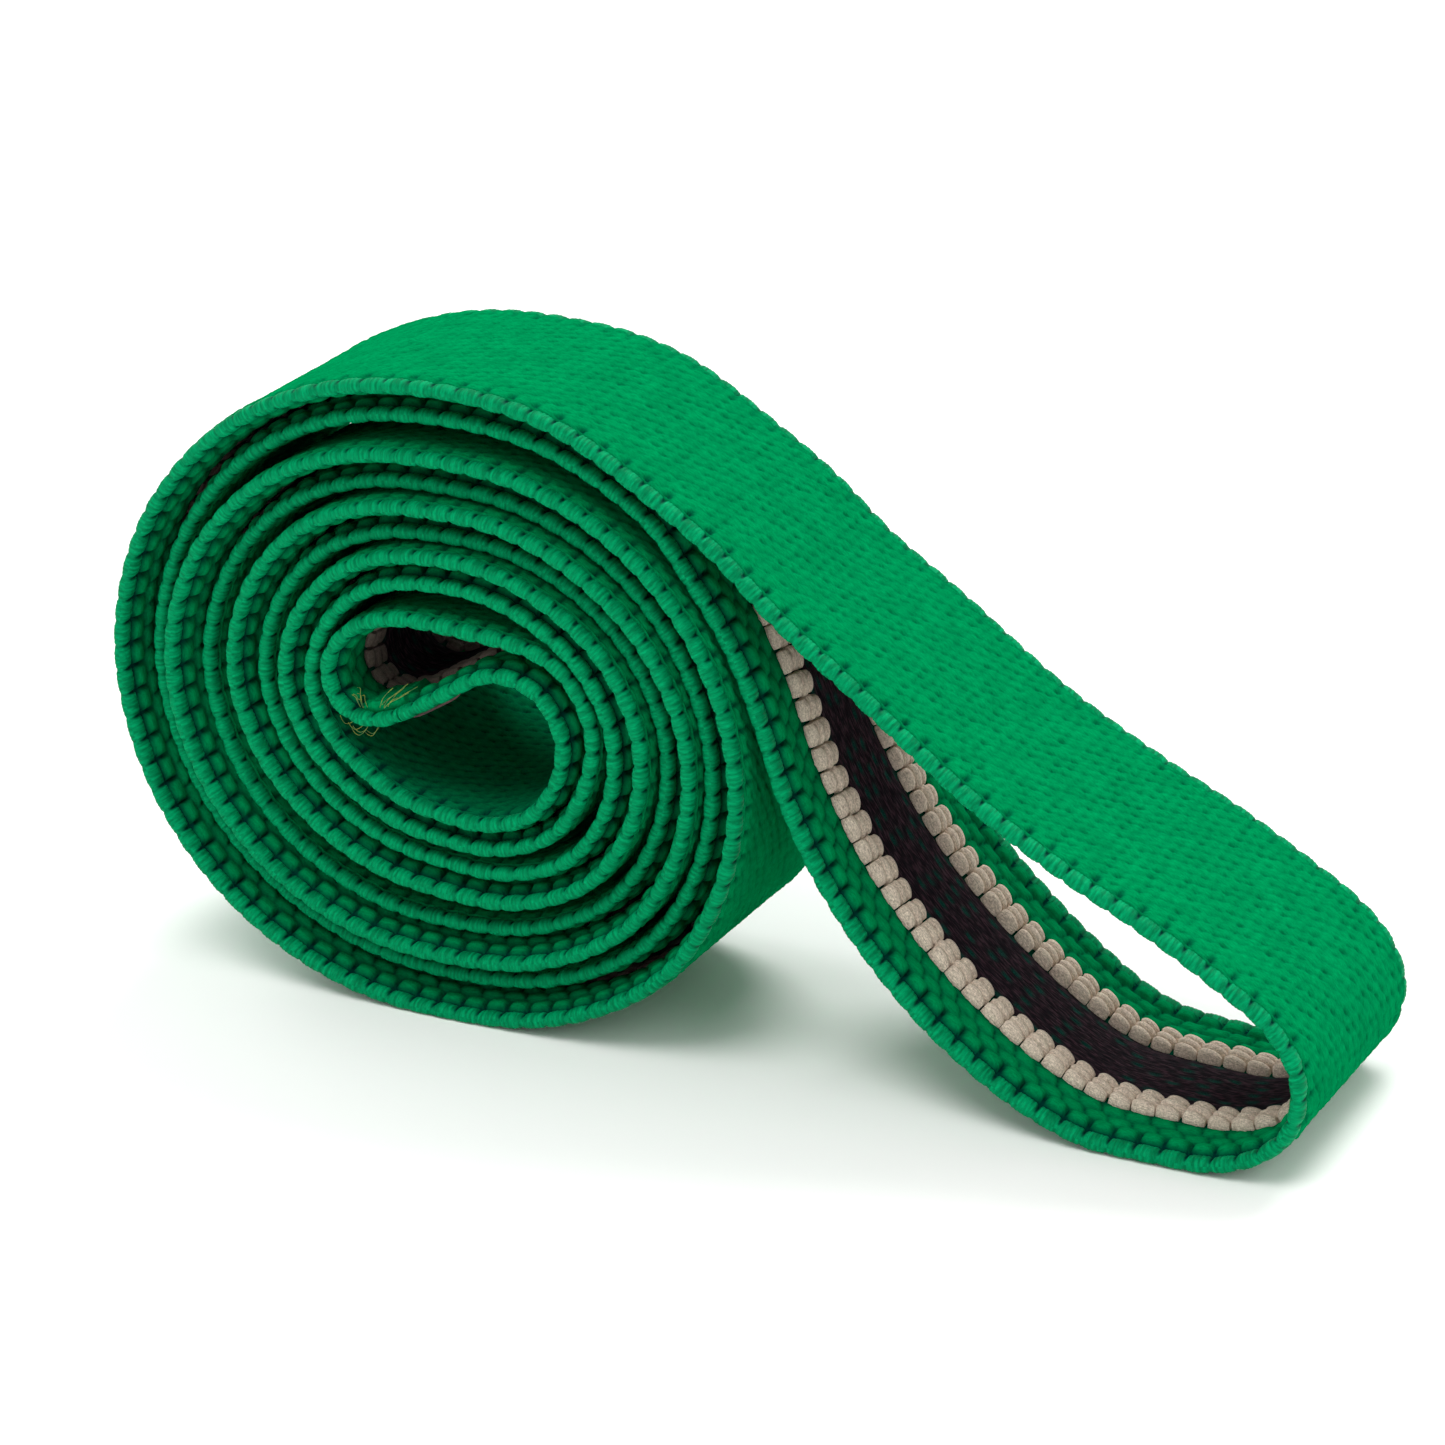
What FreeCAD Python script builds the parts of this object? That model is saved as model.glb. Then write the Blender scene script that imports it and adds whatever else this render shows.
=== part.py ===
import FreeCAD, Part
import math
import os

# Closed-loop woven resistance band, pressed flat, rolled up double from one end
# and laid on its edge-side roll with the last stretch of the loop lying free.
# Millimetres.  X runs from the roll to the free loop end, Y across the band, Z up.
# Origin: middle of the whole part in X and Y, on the surface that it rests on.

doc = FreeCAD.newDocument("resistance_band")
os.makedirs("parts", exist_ok=True)

# ---------------------------------------------------------------- driving sizes
SIZES = [
    ("band_width", 45.0),       # edge to edge
    ("band_thickness", 2.2),    # green face to inner face
    ("outer_ply", 0.8),         # outer cloth of the double weave
    ("latex_ply", 0.6),         # layer of stretched latex threads
    ("inner_ply", 0.4),         # inner cloth
    ("ply_gap", 0.05),          # running gap between curved layers
    ("selvedge_width", 2.8),    # wrapped edge
    ("stripe_width", 13.6),     # dark centre stripe
    ("rib_width", 5.2),         # grip bead row, next to the stripe
    ("rib_rise", 0.6),          # grip bead row above the inner face
    ("lap_ply", 0.6),           # end of the band lapped over at the join
    ("stitch_size", 0.5),       # join stitches above the outer face
    ("body_gap", 0.3),          # gap between stretches that move apart
    ("roll_centre_x", -39.05),
    ("roll_centre_z", 50.2),
]
sheet = doc.addObject("Spreadsheet::Sheet", "sizes")
for row, (name, value) in enumerate(SIZES, start=1):
    sheet.set("A%d" % row, name)
    sheet.set("B%d" % row, str(value))
    sheet.setAlias("B%d" % row, name)
doc.recompute()
size = {name: float(sheet.get(name)) for name, _ in SIZES}

# ---------------------------------------------------------------- course of the band
# All points are (x, z) from the middle of the roll, on the band's mid thickness.

# Mid radius of the double layer at each eighth of a turn, inwards from the top right.
ROLL_RADII = [
    48.6, 45.9, 48.8, 51.3, 49.2, 46.6, 48.5, 44.6,
    38.7, 35.4, 39.6, 43.0, 40.5, 37.8, 40.1, 37.3,
    31.1, 28.0, 30.9, 32.4, 28.7, 27.3, 31.5, 30.0,
    23.8, 20.9, 22.7, 23.5, 19.7, 19.0, 22.8, 22.7,
]
PAIR_GAP_OUTER = 5.07
PAIR_GAP_INNER = 4.10
LAST_STATION = len(ROLL_RADII) - 1
STEPS_PER_STATION = 2

# Free loop, upper run: from its turned end back to the roll.
UPPER_RUN = [
    (120.8, -21.3), (109.0, -14.4), (96.4, -8.1), (82.4, 0.4),
    (65.0, 13.6), (54.0, 21.8), (44.7, 30.1),
]
# Heart of the roll: over the top, round the small fold and through the S bend.
CORE = [
    (21.1, 7.7), (16.8, 10.6), (12.0, 11.8), (4.4, 12.5), (-3.2, 12.9),
    (-8.2, 12.5), (-13.7, 10.4), (-17.7, 6.0), (-18.5, 2.4), (-17.0, -1.6),
    (-13.4, -3.7), (-9.7, -3.5), (-6.2, -2.0), (0.5, 2.0), (3.9, 4.2),
    (7.2, 5.9), (10.4, 6.5), (13.7, 6.0), (16.9, 4.2), (19.0, 1.3), (20.2, -2.2),
]
# Free loop, lower run: from the roll's right side down to the surface.
LOWER_RUN = [
    (38.5, 25.6), (44.6, 16.9), (47.5, 11.2), (49.9, 5.7), (52.0, 0.0),
    (54.3, -5.7), (60.5, -16.7), (68.0, -26.2), (78.0, -35.6), (88.8, -43.3),
    (96.0, -47.0), (101.5, -48.7),
]
# Turned end of the free loop; the flat stretch lies on the surface.
LOOP_END = [
    (106.0, -49.05), (108.0, -49.1), (110.0, -49.1), (115.0, -49.1), (117.0, -49.1),
    (122.3, -48.1), (127.3, -45.4), (130.7, -41.4), (131.9, -36.2), (130.9, -31.0),
    (127.0, -25.7),
]


def spread(values, u):
    """Smooth value between evenly spaced stations."""
    i = min(int(u), len(values) - 2)
    f = u - i
    p1 = values[i]
    p2 = values[i + 1]
    p0 = values[i - 1] if i > 0 else 2 * p1 - p2
    p3 = values[i + 2] if i + 2 < len(values) else 2 * p2 - p1
    slope1 = (p2 - p0) / 2
    slope2 = (p3 - p1) / 2
    rise = p2 - p1
    return p1 + f * slope1 + f * f * (3 * rise - 2 * slope1 - slope2) + f ** 3 * (slope1 + slope2 - 2 * rise)


def roll_point(u, side):
    """Point on the outer (side 1) or inner (side -1) layer at station u."""
    gap = PAIR_GAP_OUTER + (PAIR_GAP_INNER - PAIR_GAP_OUTER) * u / LAST_STATION
    radius = spread(ROLL_RADII, u) + side * gap / 2
    angle = math.radians(45 * (u + 1))
    return (radius * math.cos(angle), radius * math.sin(angle))


count = LAST_STATION * STEPS_PER_STATION
OUTER_LAYER = [roll_point(k / STEPS_PER_STATION, 1) for k in range(count + 1)]
INNER_LAYER = [roll_point(k / STEPS_PER_STATION, -1) for k in range(count, -1, -1)][1:]

course = []
starts = {}
for name, points in (
    ("upper_run", UPPER_RUN),
    ("outer_layer", OUTER_LAYER),
    ("core", CORE),
    ("inner_layer", INNER_LAYER),
    ("lower_run", LOWER_RUN),
    ("loop_end", LOOP_END),
):
    starts[name] = len(course)
    course.extend(points)
TOTAL = len(course)


def blend(a, b, ta, tb, t):
    w = (t - ta) / (tb - ta)
    return (a[0] + (b[0] - a[0]) * w, a[1] + (b[1] - a[1]) * w)


def curve_point(i, f):
    """Point on the closed smooth course, fraction f of the way from point i to i + 1."""
    p = [course[(i + k) % TOTAL] for k in (-1, 0, 1, 2)]
    t = [0.0]
    for k in range(3):
        t.append(t[-1] + math.dist(p[k], p[k + 1]) ** 0.5)
    now = t[1] + f * (t[2] - t[1])
    a1 = blend(p[0], p[1], t[0], t[1], now)
    a2 = blend(p[1], p[2], t[1], t[2], now)
    a3 = blend(p[2], p[3], t[2], t[3], now)
    b1 = blend(a1, a2, t[0], t[2], now)
    b2 = blend(a2, a3, t[1], t[3], now)
    return blend(b1, b2, t[1], t[2], now)


def offset_point(i, f, offset):
    """Course point moved to its left, towards the band's inner face."""
    step = 1e-4
    x, z = curve_point(i, f)
    x0, z0 = curve_point(i, f - step)
    x1, z1 = curve_point(i, f + step)
    length = math.hypot(x1 - x0, z1 - z0)
    return FreeCAD.Vector(x - offset * (z1 - z0) / length, z + offset * (x1 - x0) / length, 0)


def edge_between(a, middle, b):
    chord = b.sub(a)
    sag = middle.distanceToLine(a, chord)
    if sag < 0.002:
        return Part.LineSegment(a, b)
    return Part.Arc(a, middle, b)


def outline(first, last, low, high, trim_first=0.0, trim_last=0.0):
    """Closed outline of a layer between two offsets, over the course points first to last."""
    pieces = []
    for i in range(first, last):
        length = math.dist(curve_point(i, 0), curve_point(i, 1))
        begin = trim_first / length if i == first else 0.0
        end = 1 - trim_last / length if i == last - 1 else 1.0
        pieces.append((i, begin, end))
    edges = []
    corners = []
    for offset in (low, high):
        for i, begin, end in pieces:
            a = offset_point(i, begin, offset)
            middle = offset_point(i, (begin + end) / 2, offset)
            b = offset_point(i, end, offset)
            edges.append(edge_between(a, middle, b))
            corners.append((a, b))
    half = len(pieces)
    edges.append(Part.LineSegment(corners[0][0], corners[half][0]))
    edges.append(Part.LineSegment(corners[half - 1][1], corners[-1][1]))
    return edges


# ---------------------------------------------------------------- solids
HALF_T = "sizes.band_thickness / 2"
half_t = size["band_thickness"] / 2
outer_top = -half_t + size["outer_ply"]
latex_low = outer_top + size["ply_gap"]
latex_top = latex_low + size["latex_ply"]
inner_low = latex_top + size["ply_gap"]
inner_top = inner_low + size["inner_ply"]
face_low = inner_top + size["ply_gap"]
rib_top = half_t + size["rib_rise"]
lap_low = rib_top + size["ply_gap"]

SELVEDGE_Y = "(sizes.band_width - sizes.selvedge_width) / 2"
RIB_Y = "(sizes.stripe_width + sizes.rib_width) / 2"
CLOTH_WIDTH = "sizes.band_width - 2 * sizes.selvedge_width"

# name, lower offset, upper offset, width, place across the band
LAYERS = [
    ("outer_weave", -half_t, outer_top, "sizes.band_width", None),
    ("latex_threads", latex_low, latex_top, CLOTH_WIDTH, None),
    ("inner_weave", inner_low, inner_top, CLOTH_WIDTH, None),
    ("centre_stripe", face_low, half_t, "sizes.stripe_width", None),
    ("grip_rib_near", face_low, rib_top, "sizes.rib_width", "-" + RIB_Y),
    ("grip_rib_far", face_low, rib_top, "sizes.rib_width", RIB_Y),
    ("selvedge_near", latex_low, half_t, "sizes.selvedge_width", "-" + SELVEDGE_Y),
    ("selvedge_far", latex_low, half_t, "sizes.selvedge_width", SELVEDGE_Y),
]

exports = []


def padded(label, profiles, width, across):
    """Body with one pad per outline, centred on its place across the band."""
    body = doc.addObject("PartDesign::Body", "body_" + label)
    body.Label = label
    body.AllowCompound = True
    plane = [f for f in body.Origin.OriginFeatures if f.Role == "XZ_Plane"][0]
    for number, edges in enumerate(profiles):
        sketch = body.newObject("Sketcher::SketchObject", "outline_%s_%d" % (label, number))
        sketch.AttachmentSupport = [(plane, "")]
        sketch.MapMode = "FlatFace"
        sketch.addGeometry(edges, False)
        pad = body.newObject("PartDesign::Pad", "pad_%s_%d" % (label, number))
        pad.Profile = sketch
        pad.SideType = "Symmetric"
        pad.setExpression("Length", width)
        sketch.Visibility = False
    body.setExpression("Placement.Base.x", "sizes.roll_centre_x")
    body.setExpression("Placement.Base.z", "sizes.roll_centre_z")
    if across:
        body.setExpression("Placement.Base.y", across)
    exports.append(body)
    return body


# Stretches of the band: the roll with both its layers, the two free runs, the turned end.
STRETCHES = [
    ("roll", starts["outer_layer"], starts["lower_run"] - 1),
    ("lower_run", starts["lower_run"] - 1, starts["loop_end"]),
    ("loop_end", starts["loop_end"], TOTAL + starts["upper_run"]),
    ("upper_run", starts["upper_run"], starts["outer_layer"]),
]
gap = size["body_gap"] / 2
for stretch, first, last in STRETCHES:
    for layer, low, high, width, across in LAYERS:
        padded("%s_%s" % (stretch, layer), [outline(first, last, low, high, gap, gap)], width, across)

# Join of the band, in the heart of the roll between the fold and the S bend.
seam = starts["core"] + 12
lap = outline(seam - 2, seam, lap_low, lap_low + size["lap_ply"], 1.0, 0.0)
padded("join_lap_ply", [lap], CLOTH_WIDTH, None)
stitch_low = -half_t - size["ply_gap"] - size["stitch_size"]
stitch_top = -half_t - size["ply_gap"]
rows = []
for i, start in ((seam - 1, 1.2), (seam, 1.8)):
    span = math.dist(course[i], course[i + 1])
    rows.append(outline(i, i + 1, stitch_low, stitch_top, start, span - start - size["stitch_size"]))
padded("join_stitch_rows", rows, CLOTH_WIDTH, None)

# ---------------------------------------------------------------- checks and export
doc.recompute()
for item in doc.Objects:
    if "Invalid" in item.State or "Error" in item.State:
        raise RuntimeError("%s: %s" % (item.Label, item.State))
low = [1e9] * 3
high = [-1e9] * 3
for item in exports:
    shape = item.Shape
    if shape.isNull() or not shape.isValid():
        raise RuntimeError("bad shape: " + item.Label)
    box = shape.BoundBox
    low = [min(a, b) for a, b in zip(low, (box.XMin, box.YMin, box.ZMin))]
    high = [max(a, b) for a, b in zip(high, (box.XMax, box.YMax, box.ZMax))]
    shape.exportStep("parts/%s.step" % item.Label)
    print("%-26s %9.1f mm3  %d solids" % (item.Label, shape.Volume, len(shape.Solids)))
print("low", [round(v, 2) for v in low], "high", [round(v, 2) for v in high])
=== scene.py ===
import math

import bpy
import numpy as np
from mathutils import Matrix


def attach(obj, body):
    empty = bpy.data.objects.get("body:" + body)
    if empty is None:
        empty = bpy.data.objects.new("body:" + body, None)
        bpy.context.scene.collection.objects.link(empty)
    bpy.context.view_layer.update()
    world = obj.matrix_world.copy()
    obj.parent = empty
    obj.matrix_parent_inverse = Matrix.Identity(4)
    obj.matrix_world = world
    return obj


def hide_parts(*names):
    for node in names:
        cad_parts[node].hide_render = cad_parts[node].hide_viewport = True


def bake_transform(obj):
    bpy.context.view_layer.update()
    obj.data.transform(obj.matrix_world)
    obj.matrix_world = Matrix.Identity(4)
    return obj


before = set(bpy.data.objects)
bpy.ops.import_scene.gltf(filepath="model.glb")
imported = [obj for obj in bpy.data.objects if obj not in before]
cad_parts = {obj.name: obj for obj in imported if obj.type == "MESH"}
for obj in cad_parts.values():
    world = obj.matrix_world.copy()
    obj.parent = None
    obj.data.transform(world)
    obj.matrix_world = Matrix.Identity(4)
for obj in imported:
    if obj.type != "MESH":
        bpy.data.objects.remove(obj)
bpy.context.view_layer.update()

# A woven loop resistance band, rolled up double, with its last stretch lying free.
# s runs along the band, y across it, and offset out of it, towards its inner face.
# Lengths are in millimetres until a mesh is made.
WIDTH = 45.0
HALF_T = 1.1             # half the thickness of the cloth
PAIR_GAP_OUTER = 5.07    # between the mid lines of the two strands, in the outer turn
PAIR_GAP_INNER = 4.10    # the same in the innermost turn
ROW = 1.25               # rows of the outer face's weave
MARGIN_ROW = 2.45        # rows of the inner face's margins
MARGIN_EDGE = 19.9       # where the first row of a margin starts
CLOTH_EDGE = 20.3        # the cloth ends inside the wrapped edge
STRIPE_HALF = 6.75       # half the width of the dark stripe
BEAD_ROW_Y = 9.4         # middle of a row of beads
ROPE_Y = 21.2            # middle of a wrapped edge
BLOCKS = 544             # edge blocks, and beads in a row, round the whole band
RECESS = 3.0             # how far the second strand lies behind the first
SEED = 7

# ------------------------------------------------------------------ course of the band
# Points are (x, z) from the middle of the roll, on the mid line of the cloth.
# Mid radius of the double layer at each eighth of a turn, inwards from the top right.
ROLL_RADII = [
    48.6, 45.9, 48.8, 51.3, 49.2, 46.6, 48.5, 44.6,
    38.7, 35.4, 39.6, 43.0, 40.5, 37.8, 40.1, 37.3,
    31.1, 28.0, 30.9, 32.4, 28.7, 27.3, 31.5, 30.0,
    23.8, 20.9, 22.7, 23.5, 19.7, 19.0, 22.8, 22.7,
]
# Free loop, from its turned end up to the roll.
UPPER_RUN = [
    (120.8, -21.3), (109.0, -14.4), (96.4, -8.1), (82.4, 0.4),
    (65.0, 13.6), (54.0, 21.8), (44.7, 30.1),
]
# Heart of the roll: over the top, round the small fold and through the S bend.
CORE = [
    (21.1, 7.7), (16.8, 10.6), (12.0, 11.8), (4.4, 12.5), (-3.2, 12.9),
    (-8.2, 12.5), (-13.7, 10.4), (-17.7, 6.0), (-18.5, 2.4), (-17.0, -1.6),
    (-13.4, -3.7), (-9.7, -3.5), (-6.2, -2.0), (0.5, 2.0), (3.9, 4.2),
    (7.2, 5.9), (10.4, 6.5), (13.7, 6.0), (16.9, 4.2), (19.0, 1.3), (20.2, -2.2),
]
# Free loop, from the roll's right side down to the floor.
LOWER_RUN = [
    (38.5, 25.6), (44.6, 16.9), (47.5, 11.2), (49.9, 5.7), (52.0, 0.0),
    (54.3, -5.7), (60.5, -16.7), (68.0, -26.2), (78.0, -35.6), (88.8, -43.3),
    (96.0, -47.0), (101.5, -48.7),
]
# Turned end of the free loop; its flat stretch lies on the floor.
LOOP_END = [
    (106.0, -49.05), (108.0, -49.1), (110.0, -49.1), (115.0, -49.1), (117.0, -49.1),
    (122.3, -48.1), (127.3, -45.4), (130.7, -41.4), (131.9, -36.2), (130.9, -31.0),
    (127.0, -25.7),
]
ROLL_CENTRE = (-39.05, 50.2)
STATIONS_PER_TURN = 8
LAST_STATION = len(ROLL_RADII) - 1
STEPS_PER_STATION = 2
STEPS_PER_TURN = STATIONS_PER_TURN * STEPS_PER_STATION


def spread(values, u):
    """Smooth value between evenly spaced stations."""
    i = min(int(u), len(values) - 2)
    f = u - i
    p1 = values[i]
    p2 = values[i + 1]
    p0 = values[i - 1] if i > 0 else 2 * p1 - p2
    p3 = values[i + 2] if i + 2 < len(values) else 2 * p2 - p1
    slope1 = (p2 - p0) / 2
    slope2 = (p3 - p1) / 2
    rise = p2 - p1
    return p1 + f * slope1 + f * f * (3 * rise - 2 * slope1 - slope2) + f ** 3 * (slope1 + slope2 - 2 * rise)


def roll_point(u, side):
    """Point on the outer (side 1) or inner (side -1) strand at station u."""
    gap = PAIR_GAP_OUTER + (PAIR_GAP_INNER - PAIR_GAP_OUTER) * u / LAST_STATION
    radius = spread(ROLL_RADII, u) + side * gap / 2
    angle = math.radians(360 / STATIONS_PER_TURN * (u + 1))
    return (radius * math.cos(angle), radius * math.sin(angle))


def blend_point(a, b, ta, tb, t):
    """Point between a, reached at ta, and b, reached at tb."""
    w = (t - ta) / (tb - ta)
    return (a[0] + (b[0] - a[0]) * w, a[1] + (b[1] - a[1]) * w)


def curve_point(course, i, f):
    """Point on the closed smooth course, fraction f of the way from point i to i + 1."""
    p = [course[(i + k) % len(course)] for k in (-1, 0, 1, 2)]
    t = [0.0]
    for k in range(3):
        t.append(t[-1] + math.dist(p[k], p[k + 1]) ** 0.5)
    now = t[1] + f * (t[2] - t[1])
    a1 = blend_point(p[0], p[1], t[0], t[1], now)
    a2 = blend_point(p[1], p[2], t[1], t[2], now)
    a3 = blend_point(p[2], p[3], t[2], t[3], now)
    b1 = blend_point(a1, a2, t[0], t[2], now)
    b2 = blend_point(a2, a3, t[1], t[3], now)
    return blend_point(b1, b2, t[1], t[2], now)


stations = LAST_STATION * STEPS_PER_STATION
outer_layer = [roll_point(k / STEPS_PER_STATION, 1) for k in range(stations + 1)]
inner_layer = [roll_point(k / STEPS_PER_STATION, -1) for k in range(stations, -1, -1)][1:]
course = UPPER_RUN + outer_layer + CORE + inner_layer + LOWER_RUN + LOOP_END
ROUND = len(course)   # points once round the band
FIRST_OUTER = len(UPPER_RUN)
FIRST_CORE = FIRST_OUTER + len(outer_layer)
FIRST_INNER = FIRST_CORE + len(CORE)
FIRST_LOWER = FIRST_INNER + len(inner_layer)
FIRST_END = FIRST_LOWER + len(LOWER_RUN)

# line holds the course as close points, arc their distance along it, ahead its direction there
SAMPLES = 24
line = np.array([curve_point(course, i, k / SAMPLES) for i in range(ROUND) for k in range(SAMPLES)])
line = np.vstack([line, line[:1]])
arc = np.concatenate([[0.0], np.cumsum(np.hypot(*np.diff(line, axis=0).T))])
LENGTH = arc[-1]
PITCH = LENGTH / BLOCKS   # one edge block, one bead
ahead = np.roll(line[:-1], -1, axis=0) - np.roll(line[:-1], 1, axis=0)
ahead = ahead / np.hypot(ahead[:, 0], ahead[:, 1])[:, None]
ahead = np.vstack([ahead, ahead[:1]])


def at(i):
    """Distance along the band of course point i."""
    return arc[(i % ROUND) * SAMPLES] + LENGTH * (i // ROUND)


def smooth(x, low, high):
    """0 below low, 1 above high, an S curve between."""
    t = np.clip((x - low) / (high - low), 0, 1)
    return t * t * (3 - 2 * t)


# The second strand lies a little further back than the first in the outer turns.
RECESS_START = at(FIRST_INNER + stations - STEPS_PER_STATION * 28)
RECESS_FULL = at(FIRST_INNER + stations - STEPS_PER_STATION * 15)
RECESS_TAIL = at(FIRST_LOWER + 4)
RECESS_END = at(FIRST_END - 1)


def recess(s):
    """How far back the band lies, with a slight wander from turn to turn."""
    s = np.mod(s, LENGTH)
    rise = smooth(s, RECESS_START, RECESS_FULL)
    fall = 1 - smooth(s, RECESS_TAIL, RECESS_END)
    wander = 0.22 * np.sin(s / 31.0 + 0.6) + 0.16 * np.sin(s / 17.3 + 2.0)
    in_roll = smooth(s, at(FIRST_OUTER), at(FIRST_OUTER + 8))
    in_roll = in_roll * (1 - smooth(s, at(FIRST_LOWER - 8), at(FIRST_LOWER)))
    return RECESS * rise * fall + wander * in_roll


# How far the near and the far edge lean towards the inner face: course point, near, far.
LEAN = [
    (0, 0.0, 0.0), (2, 0.0, 0.1), (3, 0.0, 0.7), (4, 0.0, 1.2), (5, 0.0, 1.7), (7, 0.0, 2.2),
    (9, 0.0, 1.7), (10, 0.0, 0.6), (11, -0.2, -0.9), (12, -0.5, -1.7), (13, -0.7, -1.6), (14, -0.8, -1.1),
    (16, -0.5, -0.5), (18, -0.3, -1.0), (19, -0.2, -1.6), (20, 0.0, -1.6), (21, 0.0, -1.0), (23, 0.0, 0.0),
    (144, 0.0, 0.0), (146, 0.3, 0.6), (148, 0.1, 0.5), (149, 0.0, -0.4), (150, 0.0, -1.5), (152, 0.0, -2.0),
    (153, 0.0, -1.2), (155, -0.1, 0.0), (157, -0.4, 1.0), (158, -0.6, 1.5), (159, -0.9, 2.2),
    (161, -0.9, 2.4), (162, -0.4, 1.9), (163, 0.0, 1.2), (165, 0.0, 0.6), (168, 0.0, 0.0),
    (170, 0.0, -0.8), (171, 0.0, -2.3), (172, 0.0, -3.0), (173, 0.0, -2.5), (174, 0.0, -1.2),
    (175, 0.0, -0.3), (176, 0.0, 0.0),
]
lean_spots = [at(i) for i, _, _ in LEAN]
lean_near = [near for _, near, _ in LEAN]
lean_far = [far for _, _, far in LEAN]
PRESS_FROM, PRESS_TO = 0.5, 0.05   # cloth below the first height is pressed to between the two


def place(s, y, offset):
    """Point in metres: s along the band, y across, offset towards the inner face."""
    s, y, offset = np.broadcast_arrays(s, y, offset)
    w = np.mod(s, LENGTH)
    share = y / WIDTH + 0.5
    near, far = np.interp(w, lean_spots, lean_near), np.interp(w, lean_spots, lean_far)
    offset = offset + (1 - share) * near + share * far
    x = np.interp(w, arc, line[:, 0])
    z = np.interp(w, arc, line[:, 1])
    tx = np.interp(w, arc, ahead[:, 0])
    tz = np.interp(w, arc, ahead[:, 1])
    norm = np.hypot(tx, tz)
    px = ROLL_CENTRE[0] + x - offset * tz / norm
    pz = ROLL_CENTRE[1] + z + offset * tx / norm
    room = PRESS_FROM - PRESS_TO
    pressed = PRESS_TO + room * np.exp(np.minimum(pz - PRESS_FROM, 0.0) / room)
    pz = np.where(pz < PRESS_FROM, pressed, pz)
    return np.stack([px, y + recess(s), pz], axis=-1) * 0.001


# ------------------------------------------------------------------ relief
def chance(i, j, salt):
    """Even random number from 0 to 1 for each cell."""
    # any large uneven factors do
    v = np.sin(i * 127.1 + j * 311.7 + (salt + SEED) * 74.7) * 43758.5453
    return v - np.floor(v)


def to_block_edge(s):
    """Signed distance along the band to the nearest gap between edge blocks."""
    return (np.mod(s / PITCH + 0.5, 1.0) - 0.5) * PITCH


def edge_gap(s, y):
    """T-shaped hollow where two edge blocks and the face meet, 0 to 1."""
    stem_y, bar_y = 18.9, 19.85   # the bar runs along the wrapped edge
    e = to_block_edge(s)
    stem = np.exp(-(e / 0.38) ** 2 - ((np.abs(y) - stem_y) / 0.95) ** 2)
    bar = np.exp(-(e / 0.95) ** 2 - ((np.abs(y) - bar_y) / 0.30) ** 2)
    return np.clip(stem + 0.6 * bar, 0, 1)


ROW_RISE = 0.20   # how high the middle of an outer row stands over its sides


def outer_relief(s, y):
    """Height of the outer face over its mean, and how deep in a hollow it is, 0 to 1, which is painted as
    shade.
    """
    # the rows wander a little
    wave = 0.11 * np.sin(s * 0.9 + y * 1.7) + 0.09 * np.sin(s * 0.37 - y * 2.3)
    wave = wave + 0.07 * np.sin(s * 1.73 + y * 0.6)
    row = np.floor((y + wave) / ROW)
    across = ((y + wave) / ROW - row - 0.5) * ROW
    along = s / PITCH + 0.5 * np.mod(row, 2) + 0.20 * (chance(row, row * 0, 3) - 0.5)
    cell = np.floor(along)
    nearest = np.floor(along + 0.5)
    # slanted pits between the stitches of a row, and fainter ones halfway
    du = (along - nearest) * PITCH + 0.5 * (chance(nearest, row, 4) - 0.5)
    strength = 0.18 + 0.34 * chance(nearest, row, 1) ** 1.3
    du = du + across * 0.9
    pit = np.exp(-(du / 0.46) ** 2 - (across / 0.40) ** 2) * strength
    halfway = (np.mod(along, 1.0) - 0.5) * PITCH + across * 0.9 + 0.4 * (chance(cell, row, 14) - 0.5)
    faint = 0.25 + 0.75 * chance(cell, row, 15)
    middle = np.exp(-(halfway / 0.42) ** 2 - (across / 0.42) ** 2) * faint
    # rounded rows of uneven stitches, with a raised line beside the wrapped edge
    dome = ROW_RISE * np.sqrt(np.clip(1 - (2 * across / ROW) ** 2, 0, 1))
    body = np.abs(2 * (np.mod(along + across * 0.30, 1.0) - 0.5)) ** 4
    lift = 0.10 * (chance(cell, row, 7) - 0.5) - 0.20 * middle
    gap = edge_gap(s, y) * np.where(y < 0, 0.62, 0.25)
    brow_y = 18.7
    brow = 0.16 * np.exp(-((np.abs(y) - brow_y) / 0.75) ** 4)
    height = dome + lift + brow - 0.13 * body - 1.25 * pit - 0.80 * gap
    # painted shade: the pits, the gaps by the wrapped edge, the stitch ends and the sides of each row are
    # darkened
    hollow = 1.30 * pit + 0.34 * middle + gap + 0.14 * body + 0.22 * (1 - dome / ROW_RISE)
    return height, np.clip(hollow, 0, 1)


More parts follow.
